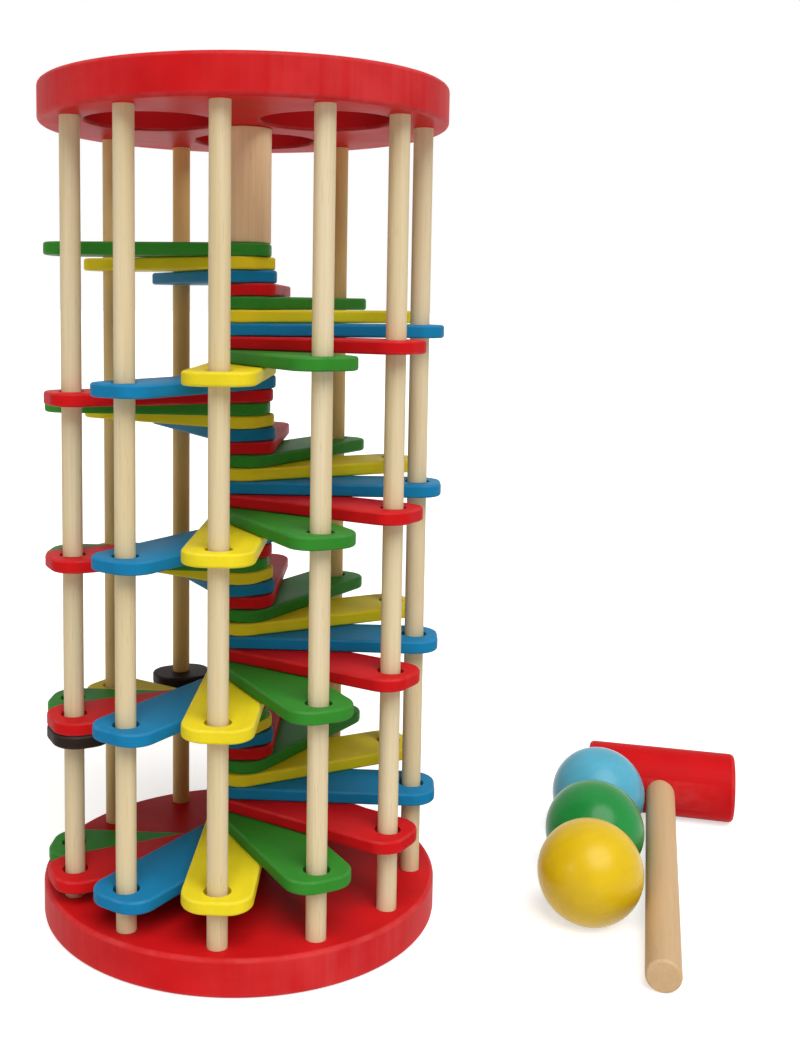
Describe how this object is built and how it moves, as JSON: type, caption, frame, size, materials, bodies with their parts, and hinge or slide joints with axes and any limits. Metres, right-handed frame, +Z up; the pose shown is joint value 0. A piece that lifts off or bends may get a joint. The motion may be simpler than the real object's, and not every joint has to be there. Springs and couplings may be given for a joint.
{
  "type": "ball run toy",
  "caption": "Wooden ball run tower: a spiral stair of painted slats inside a ring of dowels between two discs, with loose balls and a mallet to knock them in.",
  "frame": {"origin": "centre of the underside of the base disc, on the ground", "axes": "+Z up the tower's axis, -Y towards the front, +X to the right where the mallet and the balls lie"},
  "size_m": [0.2308, 0.1356, 0.2363],
  "materials": {
    "red_paint": "satin paint on wood",
    "green_paint": "satin paint on wood",
    "yellow_paint": "satin paint on wood",
    "blue_paint": "satin paint on wood",
    "dark_paint": "dark satin paint on wood",
    "dowel_wood": "bare pale wood, sanded",
    "post_wood": "bare tan wood, sanded",
    "ball_blue_paint": "satin paint on wood",
    "ball_green_paint": "satin paint on wood",
    "ball_yellow_paint": "satin paint on wood"
  },
  "bodies": {
    "tower": {"base_disc": "red_paint", "top_disc": "red_paint", "dowel_01": "dowel_wood", "dowel_02": "dowel_wood", "dowel_03": "dowel_wood", "dowel_04": "dowel_wood", "dowel_05": "dowel_wood", "dowel_06": "dowel_wood", "dowel_07": "dowel_wood", "dowel_08": "dowel_wood", "dowel_09": "dowel_wood", "dowel_10": "dowel_wood", "dowel_11": "dowel_wood", "dowel_12": "dowel_wood", "centre_rod": "dowel_wood", "centre_post": "post_wood", "slats_01_02": "green_paint", "slats_03_04": "blue_paint", "slats_05_06": "green_paint", "slat_07": "blue_paint", "slat_08": "red_paint", "slat_09": "green_paint", "slat_10": "yellow_paint", "slat_11": "blue_paint", "slat_12": "red_paint", "slats_13_14": "green_paint", "slats_15_16": "blue_paint", "slats_17_18": "green_paint", "slat_19": "blue_paint", "slat_20": "red_paint", "slat_21": "green_paint", "slat_22": "yellow_paint", "slat_23": "blue_paint", "slat_24": "red_paint", "slats_25_26": "green_paint", "slats_27_28": "blue_paint", "slats_29_30": "green_paint", "slat_31": "blue_paint", "slat_32": "red_paint", "slat_33": "green_paint", "slat_34": "yellow_paint", "slat_35": "blue_paint", "slat_36": "red_paint", "slats_37_38": "green_paint", "slats_39_40": "blue_paint", "slats_41_42": "green_paint", "slat_43": "blue_paint", "slat_44": "red_paint", "slat_45": "green_paint", "slat_46": "yellow_paint", "slat_47": "blue_paint", "slat_48": "red_paint", "slat_49": "green_paint", "stub_left": "dark_paint", "stub_back": "dark_paint"},
    "ball_blue": {"ball_blue": "ball_blue_paint"},
    "ball_green": {"ball_green": "ball_green_paint"},
    "ball_yellow": {"ball_yellow": "ball_yellow_paint"},
    "mallet": {"mallet_head": "red_paint", "mallet_handle": "post_wood"}
  },
  "joints": [
    {"name": "ball_blue_lift", "type": "slide", "parent": "tower", "child": "ball_blue", "axis": [0, 0, 1], "range_m": [0, 0.24]},
    {"name": "ball_green_lift", "type": "slide", "parent": "tower", "child": "ball_green", "axis": [0, 0, 1], "range_m": [0, 0.24]},
    {"name": "ball_yellow_lift", "type": "slide", "parent": "tower", "child": "ball_yellow", "axis": [0, 0, 1], "range_m": [0, 0.24]},
    {"name": "mallet_lift", "type": "slide", "parent": "tower", "child": "mallet", "axis": [0, 0, 1], "range_m": [0, 0.24]}
  ]
}
